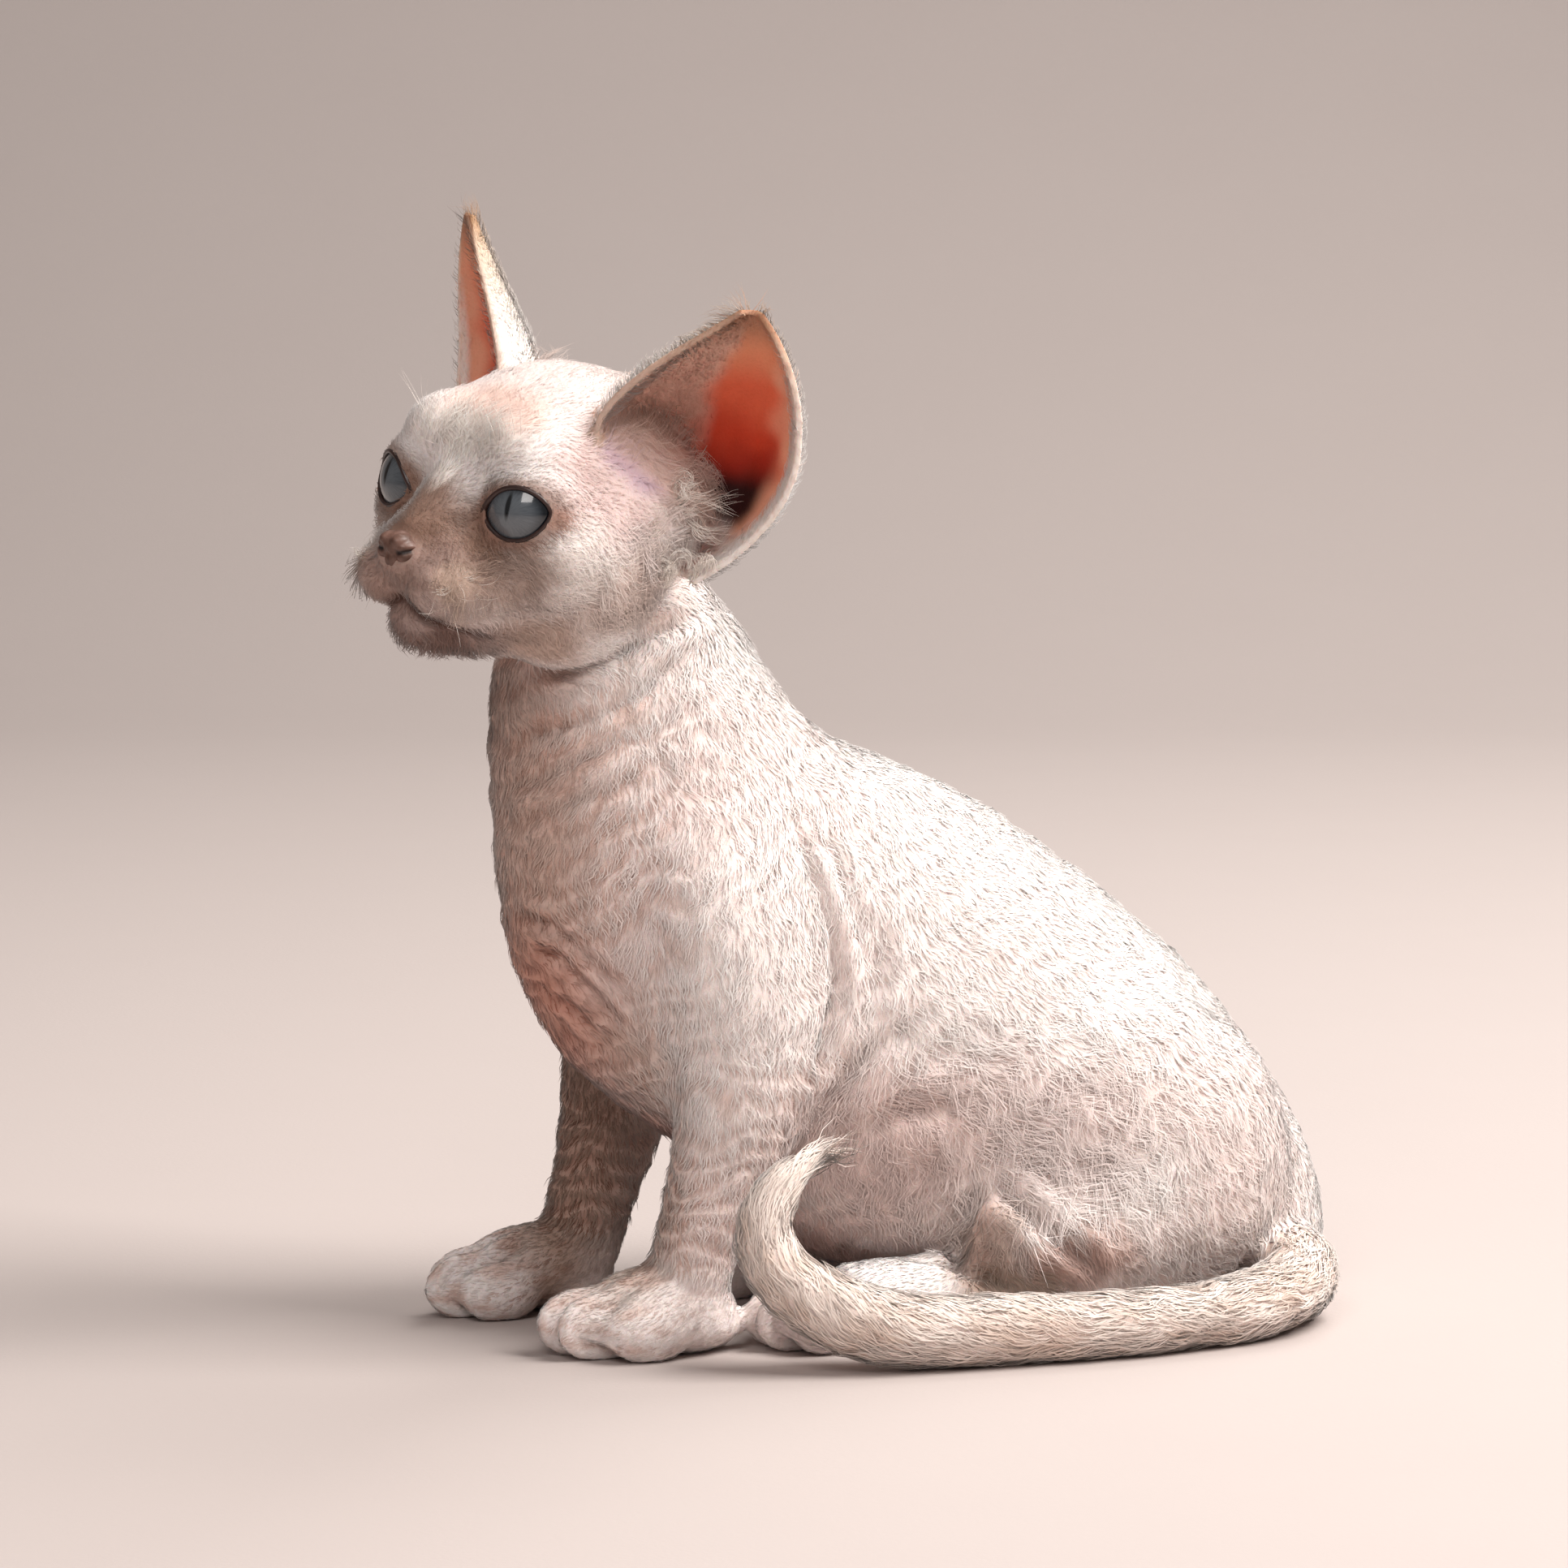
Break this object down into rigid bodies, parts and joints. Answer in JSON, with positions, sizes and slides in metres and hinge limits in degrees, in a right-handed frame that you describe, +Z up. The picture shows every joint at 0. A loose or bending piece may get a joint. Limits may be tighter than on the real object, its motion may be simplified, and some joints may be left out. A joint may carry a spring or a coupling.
{
  "type": "devon rex cat",
  "caption": "Life-size still model of a sitting Devon Rex kitten, with large cupped ears, head turned to its left and tail curled round its side.",
  "frame": {"origin": "centre of the bottom of the bounding box, on the floor that the kitten sits on", "axes": "+Z up; the kitten faces -X and its left side is towards -Y"},
  "size_m": [0.2172, 0.1112, 0.2333],
  "materials": {
    "head": "short velvety fur",
    "nose": "damp skin",
    "ear_left": "thin warm skin with fine down",
    "ear_right": "thin warm skin with fine down",
    "eye_left": "gloss",
    "eye_right": "gloss",
    "neck": "short velvety fur",
    "torso": "short velvety fur",
    "foreleg_left": "short velvety fur",
    "foreleg_right": "short velvety fur",
    "forepaw_left": "short velvety fur",
    "forepaw_right": "short velvety fur",
    "hindleg_left": "short velvety fur",
    "hindleg_right": "short velvety fur",
    "hindpaw_left": "short velvety fur",
    "hindpaw_right": "short velvety fur",
    "tail_base": "short wavy fur",
    "tail_middle": "short wavy fur",
    "tail_tip": "short wavy fur"
  },
  "bodies": {
    "root": {"head": "head", "nose": "nose", "ear_left": "ear_left", "ear_right": "ear_right", "eye_left": "eye_left", "eye_right": "eye_right", "neck": "neck", "torso": "torso", "foreleg_left": "foreleg_left", "foreleg_right": "foreleg_right", "forepaw_left": "forepaw_left", "forepaw_right": "forepaw_right", "hindleg_left": "hindleg_left", "hindleg_right": "hindleg_right", "hindpaw_left": "hindpaw_left", "hindpaw_right": "hindpaw_right", "tail_base": "tail_base", "tail_middle": "tail_middle", "tail_tip": "tail_tip"}
  },
  "joints": []
}
